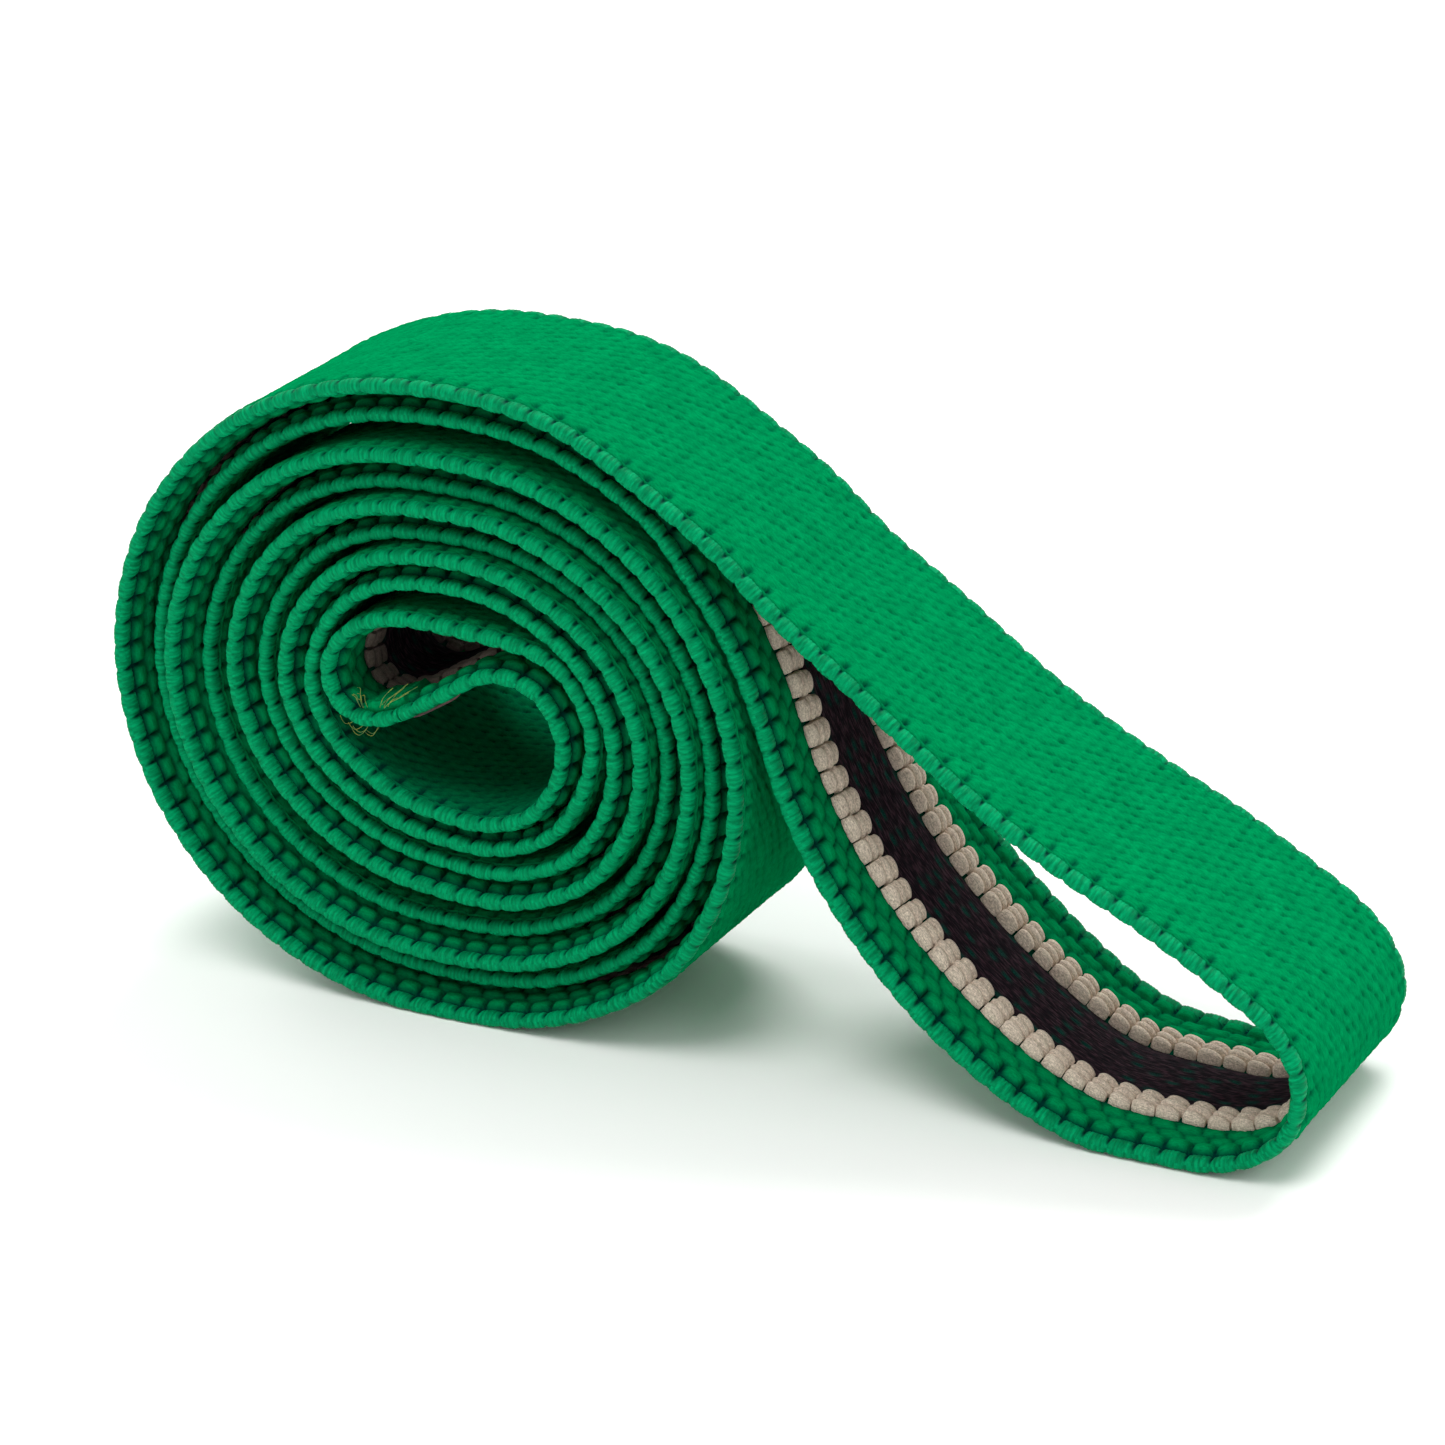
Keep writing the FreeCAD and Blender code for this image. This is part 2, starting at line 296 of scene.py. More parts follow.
def margin_relief(s, y):
    """The same for the two green margins of the inner face: rows of puffed blocks."""
    last_row = 3
    side = np.where(y > 0, 1.0, 0.0)
    inward = MARGIN_EDGE - np.abs(y)
    row = np.floor(inward / MARGIN_ROW)
    weave = 0.16 * np.sin(2 * math.pi * s / PITCH + math.pi * row + 1.0) * (row > 0)
    inward = inward + weave + 0.10 * np.sin(s * 0.8 + side * 2)
    row = np.clip(np.floor(inward / MARGIN_ROW), 0, last_row)
    v = inward / MARGIN_ROW - row - 0.5
    along = s / PITCH + 0.5 * np.mod(row, 2) + 0.22 * v * (row > 0)
    cell = np.floor(along)
    u = along - cell - 0.5 + 0.06 * (chance(cell, row + 4 * side, 10) - 0.5)
    puff = np.clip(1 - np.abs(2.02 * u) ** 2.6, 0, 1) ** 0.5
    puff = puff * np.clip(1 - np.abs(1.96 * v) ** 2.4, 0, 1) ** 0.5
    thick = 0.52 + 0.30 * chance(cell, row + 9 * side, 2) + 0.10 * (row == 0)
    # inside the roll the margins swell towards the strand that faces them
    spots = [0.0, at(FIRST_OUTER), at(FIRST_OUTER + 3), at(FIRST_CORE - 2), at(FIRST_CORE + 2),
             at(FIRST_INNER - 2), at(FIRST_INNER + 2), at(FIRST_LOWER - 3), at(FIRST_LOWER), LENGTH]
    swelling = [0.0, 0.0, 0.85, 0.50, 0.0, 0.0, 0.50, 0.85, 0.0, 0.0]
    crowd = np.interp(np.mod(s, LENGTH), spots, swelling) * smooth(inward, 1.6, 3.6)
    # a fine line splits each block lengthwise
    split = 0.07 * np.exp(-((v - 0.10) / 0.09) ** 2)
    gap = edge_gap(s, y)
    height = -0.34 + thick * puff - split * puff + crowd + 0.36 * (row == 0) * puff - 0.6 * gap
    # the second value is painted shade, between the blocks and in the gaps by the wrapped edge
    return height, np.clip(0.85 * (1 - puff) ** 1.2 + 0.9 * gap, 0, 1)


def stripe_relief(s, y):
    """Lengthwise threads of the dark stripe, and where green threads show through."""
    thread, lane_width = 0.46, 1.12
    green_share = 0.62
    ridge = 0.09 * np.cos(2 * math.pi * y / thread) + 0.06 * np.sin(s * 1.5 + np.floor(y / thread) * 2.4)
    lane = np.floor(y / lane_width)
    along = s / (2 * PITCH) + 0.5 * np.mod(lane, 2) + 0.16 * (chance(lane, lane * 0, 5) - 0.5)
    cell = np.floor(along)
    u = (along - cell - 0.5) * 2 * PITCH + 1.2 * (chance(cell, lane, 13) - 0.5)
    v = y / lane_width - lane - 0.5
    kept = (chance(cell, lane, 6) < green_share) * 1.0
    fleck = kept * np.exp(-np.abs(u / 0.90) ** 3 - np.abs(v / 0.42) ** 3)
    return ridge - 0.16 * fleck, np.clip(1.3 * fleck, 0, 1)


def block_lobe(s):
    """1 over the middle of an edge block, 0 in the gap beside it."""
    t = np.abs(2 * np.mod(s / PITCH, 1.0) - 1)
    return np.sqrt(np.clip(1 - t ** 2.1, 0, 1))


SEAM = at(ROUND + FIRST_CORE + 12)   # where the two ends of the band are joined


# ------------------------------------------------------------------ meshes
def make_mesh(name, points, faces, uv, materials, hollow=None, tint=None, flat_faces=()):
    """Object from points in metres, quads and uv per quad corner; flat_faces are end caps."""
    mesh = bpy.data.meshes.new(name)
    mesh.vertices.add(len(points))
    mesh.vertices.foreach_set("co", np.ascontiguousarray(points, np.float32).ravel())
    caps = [np.asarray(cap, np.int32) for cap in flat_faces]
    corners = np.concatenate([faces.astype(np.int32).ravel(), *caps])
    starts = np.arange(len(faces), dtype=np.int32) * 4
    cap_starts = []
    cap_start = faces.size
    for cap in caps:
        cap_starts.append(cap_start)
        cap_start += len(cap)
    mesh.loops.add(len(corners))
    mesh.loops.foreach_set("vertex_index", corners)
    mesh.polygons.add(len(faces) + len(caps))
    mesh.polygons.foreach_set("loop_start", np.concatenate([starts, np.array(cap_starts, np.int32)]))
    smooth_flags = np.ones(len(mesh.polygons), bool)
    smooth_flags[len(faces):] = False
    mesh.polygons.foreach_set("use_smooth", smooth_flags)
    mesh.update(calc_edges=True)
    if caps:
        borders = np.zeros(len(corners), np.int32)
        mesh.loops.foreach_get("edge_index", borders)
        sharp = np.zeros(len(mesh.edges), bool)
        sharp[borders[faces.size:]] = True
        mesh.attributes.new("sharp_edge", "BOOLEAN", "EDGE").data.foreach_set("value", sharp)
    layer = mesh.uv_layers.new(name="band")
    flat = np.zeros((len(corners), 2), np.float32)
    flat[:faces.size] = uv.reshape(-1, 2)
    layer.data.foreach_set("uv", flat.ravel())
    # hollow holds painted shade, tint the stripe's green threads
    for label, values in (("hollow", hollow), ("tint", tint)):
        if values is not None:
            attribute = mesh.attributes.new(label, "FLOAT", "POINT")
            attribute.data.foreach_set("value", np.ascontiguousarray(values, np.float32).ravel())
    for material in materials:
        mesh.materials.append(material)
    mesh.validate()
    obj = bpy.data.objects.new(name, mesh)
    bpy.context.scene.collection.objects.link(obj)
    return obj


def tube(name, s, points, around, material, hollow=None, tint=None):
    """Closed tube through rings of points, one ring for each s; around is the uv across."""
    rings, count = points.shape[:2]
    ring = np.arange(rings - 1)[:, None]
    spot = np.arange(count)[None, :]
    after = (spot + 1) % count
    a = ring * count + spot
    b = (ring + 1) * count + spot
    c = (ring + 1) * count + after
    d = ring * count + after
    faces = np.stack([a, d, c, b], axis=-1).reshape(-1, 4)
    width = np.broadcast_to(around, (rings - 1, count))
    around_after = np.append(around[1:], around[-1] + (around[1] - around[0]))
    width_after = np.broadcast_to(around_after, (rings - 1, count))
    s0 = np.broadcast_to(s[:-1, None], (rings - 1, count))
    s1 = np.broadcast_to(s[1:, None], (rings - 1, count))
    uv = np.stack([
        np.stack([s0, width], -1), np.stack([s0, width_after], -1),
        np.stack([s1, width_after], -1), np.stack([s1, width], -1)], axis=2).reshape(-1, 4, 2)
    first = np.arange(count)
    last = (rings - 1) * count + np.arange(count)[::-1]
    return make_mesh(name, points.reshape(-1, 3), faces, uv, [material], hollow, tint, (first, last))


def steps(start, end, size):
    """Evenly spaced values, about size apart."""
    return np.linspace(start, end, max(2, int(round((end - start) / size)) + 1))


def columns(fine_outer, fine_inner):
    """Places across the band for one ring of cloth: outer face there, inner face back."""
    middle = 12.5   # nearer the middle than this, the inner face lies under the stripe and the beads
    if fine_outer:
        outer = np.linspace(-CLOTH_EDGE, CLOTH_EDGE, 128)
    else:
        near = np.arange(-CLOTH_EDGE, -11.0, 0.36)
        outer = np.concatenate([near, np.linspace(-10.5, 10.5, 9), -near[::-1]])
    fine = 0.31 if fine_inner else 0.42
    near = np.append(np.arange(-CLOTH_EDGE, -middle, fine), -middle)
    inner = np.concatenate([near, [-11.5, -6.0, 0.0, 6.0, 11.5], -near[::-1]])[::-1]
    return outer, inner


def cloth(name, start, end, step, fine_outer, fine_inner, material):
    """One stretch of the double cloth."""
    s = steps(start, end, step)
    outer, inner = columns(fine_outer, fine_inner)
    rise, deep = outer_relief(s[:, None], outer[None, :])
    # painted shade: past the join the heart's cloth is darker, as it lies deep in the middle of the roll
    deep = np.clip(deep + 0.42 * smooth(s, SEAM + 6, SEAM + 22)[:, None], 0, 1)
    inner_rise, inner_deep = margin_relief(s[:, None], inner[None, :])
    # flat under the stripe and the beads, and painted dark there as shade
    centre = np.abs(inner) < 12.0
    inner_rise[:, centre] = -0.35
    inner_deep[:, centre] = 0.9
    y = np.concatenate([outer, inner])
    offset = np.concatenate([-HALF_T + 0.06 - rise, HALF_T + 0.02 + inner_rise], axis=1)
    points = place(s[:, None], y[None, :], offset)
    return tube(name, s, points, y, material, np.concatenate([deep, inner_deep], axis=1))


def stripe(name, start, end, step, threads, material):
    """The dark stripe: a thin ribbed ribbon lying on the inner cloth."""
    s = steps(start, end, step)
    top = np.linspace(STRIPE_HALF, -STRIPE_HALF, threads)
    rise, green = stripe_relief(s[:, None], top[None, :])
    side = 1 - np.abs(top / STRIPE_HALF) ** 8
    lift = HALF_T + 0.02 + (rise + 0.10) * side[None, :] - 0.25 * (1 - side[None, :])
    y = np.concatenate([top, [-STRIPE_HALF, STRIPE_HALF]])
    under = np.full((len(s), 2), HALF_T - 0.45)
    points = place(s[:, None], y[None, :], np.concatenate([lift, under], axis=1))
    tint = np.concatenate([green, np.zeros((len(s), 2))], axis=1)
    return tube(name, s, points, y, material, None, tint)


def rope(name, start, end, step, side, material):
    """Wrapped edge: a thick rounded cord of fine crosswise turns, pinched between blocks."""
    s = steps(start, end, step)
    count = 14   # points round the cord
    wraps = 6    # turns of thread on a block
    half_width, half_height = 1.44, 1.13
    angle = np.arange(count) * 2 * math.pi / count + math.pi / count
    lobe = block_lobe(s)[:, None]
    cosine = np.cos(angle)[None, :]
    sine = np.sin(angle)[None, :]
    wound = wraps * s[:, None] / PITCH + 0.16 * np.sin(s[:, None] * 2.1) + 0.22 * sine
    turn = 0.5 + 0.5 * np.cos(2 * math.pi * wound)
    ridge = 0.06 * (turn - 0.5) + 0.05 * (chance(np.floor(wound + 0.5), 0 * wound, 8) - 0.5)
    outward = np.clip(cosine, 0, 1)
    inward = np.clip(0.45 - cosine, 0, 1)
    # a narrow slit between blocks, and blocks of slightly different height
    slit = np.exp(-(to_block_edge(s) / 0.25) ** 2)[:, None]
    reach = 1 + 0.05 * (chance(np.floor(s / PITCH), 0 * s, 9)[:, None] - 0.5)
    # the pinches are deeper towards the inner face, and on the far edge
    pinch = (0.38 if side < 0 else 0.46) + 0.14 * np.clip(sine, 0, 1)
    ry = half_width - 0.20 * (1 - lobe) * outward + ridge
    rn = half_height * reach - pinch * (1 - lobe) - 0.24 * slit * inward + ridge
    y = side * (ROPE_Y + ry * np.sign(cosine) * np.abs(cosine) ** 0.86)
    offset = rn * np.sign(sine) * np.abs(sine) ** 0.86
    if side > 0:
        y = y[:, ::-1]
        offset = offset[:, ::-1]
    points = place(s[:, None], y, offset)
    # painted shade in the slits between blocks and between the turns; the far edge's slits get less of it
    shown = 1.7 if side < 0 else 0.5
    deep = np.clip(shown * slit * np.clip(0.80 - cosine, 0, 1) + 0.15 * slit + 0.19 * (1 - turn) ** 1.6, 0, 1)
    if side > 0:
        deep = deep[:, ::-1]
    return tube(name, s, points, angle * 1.25, material, deep)


def bead_height(s):
    """How far the beads stand above the inner face: less where another strand faces them."""
    spots = [0.0, at(FIRST_OUTER), at(FIRST_CORE), at(FIRST_CORE + 4), at(FIRST_CORE + 17),
             at(FIRST_INNER), at(FIRST_LOWER), at(FIRST_LOWER + 3), LENGTH]
    heights = [1.85, 1.30, 0.84, 1.10, 1.10, 0.84, 1.30, 1.85, 1.85]
    return np.interp(np.mod(s, LENGTH), spots, heights)


def bead_painted_shade(s):
    """How far the beads are painted dark brown as shade: most inside the roll, a little on the upper run and
    where the lower run leaves the roll, none further on.
    """
    w = np.mod(s, LENGTH)
    fade = 25
    roll_start, roll_end = at(FIRST_OUTER), at(FIRST_LOWER - 2)
    inside = smooth(w, roll_start, roll_start + fade) * (1 - smooth(w, roll_end - fade, roll_end))
    beside = (1 - inside) * (1 - smooth(w, at(FIRST_LOWER), at(FIRST_LOWER + 8)))
    return 0.86 * inside + 0.16 * beside


BEAD_SINK = 0.15   # how deep a bead's middle lies in the cloth
LOBE_SPACING = 1.62
LOBE_HALF_WIDTH = 1.08


def beads(name, start, end, side, segments, rings, material):
    """Row of grip beads, each of three long lobes side by side."""
    first = math.ceil(start / PITCH - 0.5)
    last = math.ceil(end / PITCH - 0.5)
    k = np.arange(first, last)   # one number for each bead
    u = np.linspace(0.0, 1.0, rings + 2)[1:-1]
    angle = np.arange(segments) * 2 * math.pi / segments
    one = rings * segments   # points of one lobe
    points, faces, uv, painted_shade, base = [], [], [], [], 0
    ring = np.arange(rings - 1)[:, None]
    spot = np.arange(segments)[None, :]
    after = (spot + 1) % segments
    quads = np.stack([ring * segments + spot, ring * segments + after,
                      (ring + 1) * segments + after, (ring + 1) * segments + spot], -1).reshape(-1, 4)
    # blunt where a bead starts, lower where the next one covers its end
    shape = np.clip(1 - np.abs(2 * u ** 0.92 - 1) ** 2.3, 0, 1) ** 0.5
    climb = 1.0 - 0.22 * u
    for lobe in (-1, 0, 1):
        c = (k + 0.5) * PITCH   # middle of the bead along the band
        size = 0.93 + 0.14 * chance(k, k * 0 + lobe + 3 * side, 11)
        shift = 0.24 * (chance(k, k * 0 + lobe + 5 * side, 12) - 0.5) + 0.22 * lobe
        half_long = (2.26 if lobe == 0 else 2.06) * size
        half_wide = LOBE_HALF_WIDTH * size
        tall = bead_height(c) * (1.0 if lobe == 0 else 0.93) * size
        y0 = side * BEAD_ROW_Y + lobe * LOBE_SPACING
        s = c[:, None, None] + shift[:, None, None] + half_long[:, None, None] * (2 * u[None, :, None] - 1)
        slant = -0.12 * (2 * u - 1)
        half = half_wide[:, None, None] * shape[None, :, None]
        y = y0 + slant[None, :, None] + half * np.cos(angle)[None, None, :]
        up = np.sin(angle)[None, None, :]
        high = (tall[:, None, None] + BEAD_SINK) * (shape * climb)[None, :, None]
        offset = HALF_T - BEAD_SINK + high * np.where(up > 0, up, 0.5 * up)
        p = place(s, y, offset).reshape(-1, 3)
        f = (quads[None] + (np.arange(len(k)) * one)[:, None, None] + base).reshape(-1, 4)
        # uv: along the bead and round it, with a place of its own for each lobe
        across = angle * 0.9
        across_after = np.append(across[1:], across[-1] + across[1] - across[0])
        v0 = np.broadcast_to(across, (rings - 1, segments))
        v1 = np.broadcast_to(across_after, (rings - 1, segments))
        a0 = np.broadcast_to((u[:-1] * 4.0)[:, None], (rings - 1, segments))
        a1 = np.broadcast_to((u[1:] * 4.0)[:, None], (rings - 1, segments))
        patch = np.stack([np.stack([a0, v0], -1), np.stack([a0, v1], -1),
                          np.stack([a1, v1], -1), np.stack([a1, v0], -1)], 2).reshape(-1, 4, 2)
        move = np.stack([k * 5.0, k * 0.0 + lobe * 9.0 + side * 30.0], -1)
        points.append(p)
        # painted shade for each bead, the same on all its points
        painted_shade.append(np.repeat(bead_painted_shade(c), one))
        faces.append(f)
        uv.append((patch[None] + move[:, None, None, :]).reshape(-1, 4, 2))
        base += len(p)
    ends = []
    faces = np.concatenate(faces)
    for start_at in range(0, base, one):
        ends.append(np.arange(start_at, start_at + segments)[::-1])
        ends.append(np.arange(start_at + one - segments, start_at + one))
    return make_mesh(name, np.concatenate(points), faces, np.concatenate(uv), [material],
                     np.concatenate(painted_shade), None, ends)


# ------------------------------------------------------------------ materials
def new_material(name):
    """Material with its nodes, its links and its surface shader."""
    material = bpy.data.materials.new(name)
    material.use_nodes = True
    nodes = material.node_tree.nodes
    shader = nodes["Principled BSDF"]
    return material, nodes, material.node_tree.links, shader


def noise(nodes, links, vector, scale, detail=3.0, stretch=(1, 1, 1)):
    """Noise from 0 to 1 over coordinates that are stretched first."""
    mapping = nodes.new("ShaderNodeMapping")
    mapping.inputs["Scale"].default_value = stretch
    links.new(vector, mapping.inputs["Vector"])
    texture = nodes.new("ShaderNodeTexNoise")
    texture.inputs["Scale"].default_value = scale
    texture.inputs["Detail"].default_value = detail
    links.new(mapping.outputs["Vector"], texture.inputs["Vector"])
    return texture.outputs["Fac"]


def ramp(nodes, links, value, stops):
    """Colour of a value through (position, colour) stops."""
    node = nodes.new("ShaderNodeValToRGB")
    elements = node.color_ramp.elements
    while len(elements) < len(stops):
        elements.new(0.5)
    for element, (position, colour) in zip(elements, stops):
        element.position = position
        element.color = (*colour, 1.0)
    links.new(value, node.inputs["Fac"])
    return node.outputs["Color"]


def mix(nodes, links, factor, a, b, kind="MIX"):
    """Two colours mixed; each input is a socket, a number or a colour."""
    node = nodes.new("ShaderNodeMix")
    node.data_type = "RGBA"
    node.blend_type = kind
    sockets = {"factor": node.inputs[0], "a": node.inputs[6], "b": node.inputs[7]}
    for key, value in (("factor", factor), ("a", a), ("b", b)):
        if isinstance(value, (int, float)):
            sockets[key].default_value = value
        elif isinstance(value, tuple):
            sockets[key].default_value = (*value, 1.0)
        else:
            links.new(value, sockets[key])
    return node.outputs[2]


def bump(nodes, links, heights, shader):
    """Chain of bumps from (height, strength, distance in metres)."""
    last = None
    for height, strength, distance in heights:
        node = nodes.new("ShaderNodeBump")
        node.inputs["Strength"].default_value = strength
        node.inputs["Distance"].default_value = distance
        links.new(height, node.inputs["Height"])
        if last is not None:
            links.new(last, node.inputs["Normal"])
        last = node.outputs["Normal"]
    links.new(last, shader.inputs["Normal"])


def band_coordinates(nodes):
    """Millimetres along and across the band."""
    node = nodes.new("ShaderNodeUVMap")
    node.uv_map = "band"
    return node.outputs["UV"]


def stored(nodes, label):
    """Value stored on the mesh's points."""
    node = nodes.new("ShaderNodeAttribute")
    node.attribute_name = label
    return node.outputs["Fac"]


def cloth_material(name, light, dark, pit, roughness):
    """Fuzzy dyed yarn: fine lengthwise fibres, soft blotches, and painted shade in the hollows."""
    material, nodes, links, shader = new_material(name)
    uv = band_coordinates(nodes)
    fibres = noise(nodes, links, uv, 1.0, 4.0, (1.1, 4.5, 1.0))
    fuzz = noise(nodes, links, uv, 5.0, 5.0)
    blotch = noise(nodes, links, uv, 0.22, 3.0)
    colour = ramp(nodes, links, fibres, [(0.30, dark), (0.62, light)])
    spots = ramp(nodes, links, blotch, [(0.3, (0.86, 0.86, 0.86)), (0.7, (1.08, 1.08, 1.08))])
    colour = mix(nodes, links, 1.0, colour, spots, "MULTIPLY")
    grain = ramp(nodes, links, fuzz, [(0.25, (0.84, 0.84, 0.84)), (0.75, (1.12, 1.12, 1.12))])
    colour = mix(nodes, links, 1.0, colour, grain, "MULTIPLY")
    # painted shade: darkened towards the pit colour where the mesh marks a hollow
    colour = mix(nodes, links, stored(nodes, "hollow"), colour, pit)
    links.new(colour, shader.inputs["Base Color"])
    shader.inputs["Roughness"].default_value = roughness
    shader.inputs["Specular IOR Level"].default_value = 0.0
    bump(nodes, links, [(fibres, 0.45, 0.00012), (fuzz, 0.4, 0.00006)], shader)
    return material


def wrap_material(name):
    """Edge yarn wound across the edge: each turn slightly different, with a silky line."""
    material, nodes, links, shader = new_material(name)
    uv = band_coordinates(nodes)
    turns = noise(nodes, links, uv, 1.0, 2.0, (1.7, 0.25, 1.0))
    fibres = noise(nodes, links, uv, 1.0, 4.0, (9.0, 1.4, 1.0))
    colour = ramp(nodes, links, turns, [(0.38, (0.0, 0.190, 0.068)), (0.62, (0.0, 0.330, 0.122))])
    grain = ramp(nodes, links, fibres, [(0.3, (0.80, 0.80, 0.80)), (0.7, (1.15, 1.15, 1.15))])
    colour = mix(nodes, links, 1.0, colour, grain, "MULTIPLY")
    # painted shade in the slits and between the turns, from the mesh
    colour = mix(nodes, links, stored(nodes, "hollow"), colour, (0.0, 0.034, 0.024))
    links.new(colour, shader.inputs["Base Color"])
    shader.inputs["Roughness"].default_value = 0.48
    shader.inputs["Specular IOR Level"].default_value = 0.02
    bump(nodes, links, [(fibres, 0.5, 0.00008)], shader)
    return material


def stripe_material(name):
    """Dark lengthwise threads, with green ones where the mesh says so."""
    material, nodes, links, shader = new_material(name)
    uv = band_coordinates(nodes)
    streak = noise(nodes, links, uv, 1.0, 4.0, (0.55, 5.0, 1.0))
    fuzz = noise(nodes, links, uv, 6.0, 4.0)
    colour = ramp(nodes, links, streak, [(0.34, (0.005, 0.004, 0.008)), (0.50, (0.014, 0.007, 0.012)),
                                         (0.66, (0.065, 0.030, 0.044))])
    green = ramp(nodes, links, fuzz, [(0.35, (0.0, 0.018, 0.015)), (0.65, (0.0, 0.070, 0.052))])
    colour = mix(nodes, links, stored(nodes, "tint"), colour, green)
    links.new(colour, shader.inputs["Base Color"])
    shader.inputs["Roughness"].default_value = 0.70
    shader.inputs["Specular IOR Level"].default_value = 0.10
    bump(nodes, links, [(streak, 0.5, 0.00012), (fuzz, 0.3, 0.00005)], shader)
    return material


def bead_material(name):
    """Pale hairy yarn, painted dark brown as shade where the mesh says so."""
    material, nodes, links, shader = new_material(name)
    uv = band_coordinates(nodes)
    hair = noise(nodes, links, uv, 1.0, 4.0, (1.6, 9.0, 1.0))
    speck = noise(nodes, links, uv, 4.5, 5.0)
    blotch = noise(nodes, links, uv, 0.5, 2.0)
    colour = ramp(nodes, links, hair, [(0.30, (0.480, 0.380, 0.312)), (0.66, (0.960, 0.815, 0.700))])
    grain = ramp(nodes, links, speck, [(0.34, (0.72, 0.70, 0.68)), (0.58, (1.06, 1.06, 1.06))])
    colour = mix(nodes, links, 1.0, colour, grain, "MULTIPLY")
    warm = ramp(nodes, links, blotch, [(0.3, (0.94, 0.92, 0.90)), (0.7, (1.06, 1.07, 1.05))])
    colour = mix(nodes, links, 1.0, colour, warm, "MULTIPLY")
    # painted shade: dark brown, as far as the mesh's value says
    colour = mix(nodes, links, stored(nodes, "hollow"), colour, (0.075, 0.048, 0.044))
    links.new(colour, shader.inputs["Base Color"])
    shader.inputs["Roughness"].default_value = 0.66
    shader.inputs["Specular IOR Level"].default_value = 0.12
    bump(nodes, links, [(hair, 0.6, 0.00012), (speck, 0.5, 0.00007)], shader)
    return material


def plain_thread(name, light, dark):
    """Single thread with slight shading along it."""
    material, nodes, links, shader = new_material(name)
    coordinates = nodes.new("ShaderNodeTexCoord").outputs["Object"]
    vary = noise(nodes, links, coordinates, 900.0, 3.0)
    links.new(ramp(nodes, links, vary, [(0.35, dark), (0.65, light)]), shader.inputs["Base Color"])
    shader.inputs["Roughness"].default_value = 0.5
    bump(nodes, links, [(vary, 0.3, 0.00003)], shader)
    return material


# the third colour is the painted shade of the hollows
GREEN = cloth_material("green_cloth", (0.0, 0.290, 0.090), (0.0, 0.195, 0.058), (0.0, 0.032, 0.024), 0.82)
EDGE = wrap_material("edge_wrap")
STRIPE = stripe_material("dark_stripe")
BEADS = bead_material("grip_beads")
LATEX_EDGE = plain_thread("latex_edge", (0.075, 0.026, 0.024), (0.030, 0.012, 0.012))
FRAY = plain_thread("frayed_thread", (0.26, 0.30, 0.04), (0.03, 0.14, 0.03))
STITCH = plain_thread("stitch_thread", (0.02, 0.30, 0.11), (0.0, 0.12, 0.04))

# ------------------------------------------------------------------ the band's pieces
# The first strand counts its distance one length on, so that the free loop runs into it without a jump.
START = at(ROUND + FIRST_OUTER)
TURN_END = at(ROUND + FIRST_OUTER + STEPS_PER_TURN)
FOLD_START = at(ROUND + FIRST_OUTER + stations - STEPS_PER_STATION)
HEART_END = at(ROUND + FIRST_INNER + 17)
SECOND_START = HEART_END - LENGTH
ROLL_END = at(FIRST_LOWER - 1)
LOW_END = at(FIRST_LOWER + 4)
UP_START = at(ROUND + 4)

free_range = (LOW_END, UP_START)
bend_ranges = {"low": (ROLL_END, LOW_END), "up": (UP_START, START)}

# Distance between rings: fine where a face shows, coarser inside the roll.
FINE_STEP = 0.36
HEART_STEP = 0.42
STRAND_STEP = 0.46
ROPE_STEP = 0.1375
HIDDEN_STRIPE = (1.6, 24)   # step and threads of a stripe that doesn't show
SHOWN_STRIPE = (0.5, 96)


def named(*words):
    """Nodes of the rig whose names hold all the words."""
    return [node for node in sorted(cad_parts) if all(word in node for word in words)]


roll_pieces = {
    "cloth_outer_turn": cloth("cloth_outer_turn", START, TURN_END, FINE_STEP, True, False, GREEN),
    "cloth_first_strand": cloth("cloth_first_strand", TURN_END, FOLD_START, STRAND_STEP, False, False, GREEN),
    "cloth_heart": cloth("cloth_heart", FOLD_START, HEART_END, HEART_STEP, True, True, GREEN),
    "cloth_second_strand": cloth("cloth_second_strand", SECOND_START, ROLL_END, STRAND_STEP, False, False,
                                 GREEN),
    "stripe_first_strand": stripe("stripe_first_strand", START, FOLD_START, *HIDDEN_STRIPE, STRIPE),
    "stripe_heart": stripe("stripe_heart", FOLD_START, HEART_END, *SHOWN_STRIPE, STRIPE),
    "stripe_second_strand": stripe("stripe_second_strand", SECOND_START, ROLL_END, *HIDDEN_STRIPE, STRIPE),
}
for label, side in (("near", -1), ("far", 1)):
    for part, start, end, segments, rings in (
        ("first_strand", START, FOLD_START, 8, 4),
        ("heart", FOLD_START, HEART_END, 12, 7),
        ("second_strand", SECOND_START, ROLL_END, 8, 4),
    ):
        name = "beads_%s_%s" % (label, part)
        roll_pieces[name] = beads(name, start, end, side, segments, rings, BEADS)
    for part, start, end in (
        ("first_strand", START, SEAM - 0.15),
        ("second_strand", SEAM + 0.15 - LENGTH, ROLL_END),
    ):
        name = "edge_%s_%s" % (label, part)
        roll_pieces[name] = rope(name, start, end, ROPE_STEP, side, EDGE)

for name, piece in roll_pieces.items():
    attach(piece, "roll")

# The loop bends over a short way, along the slope of the runs.
bend_pieces = {}
for part, (start, end) in bend_ranges.items():
    bend_pieces["cloth_" + part] = cloth("cloth_bend_" + part, start, end, FINE_STEP, True, True, GREEN)
    bend_pieces["stripe_" + part] = stripe("stripe_bend_" + part, start, end, *SHOWN_STRIPE, STRIPE)
    for label, side in (("near", -1), ("far", 1)):
        name = "%s_bend_%s" % (label, part)
        bend_pieces["beads_" + name] = beads("beads_" + name, start, end, side, 14, 9, BEADS)
        bend_pieces["edge_" + name] = rope("edge_" + name, start, end, ROPE_STEP, side, EDGE)
for piece in bend_pieces.values():
    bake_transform(piece)

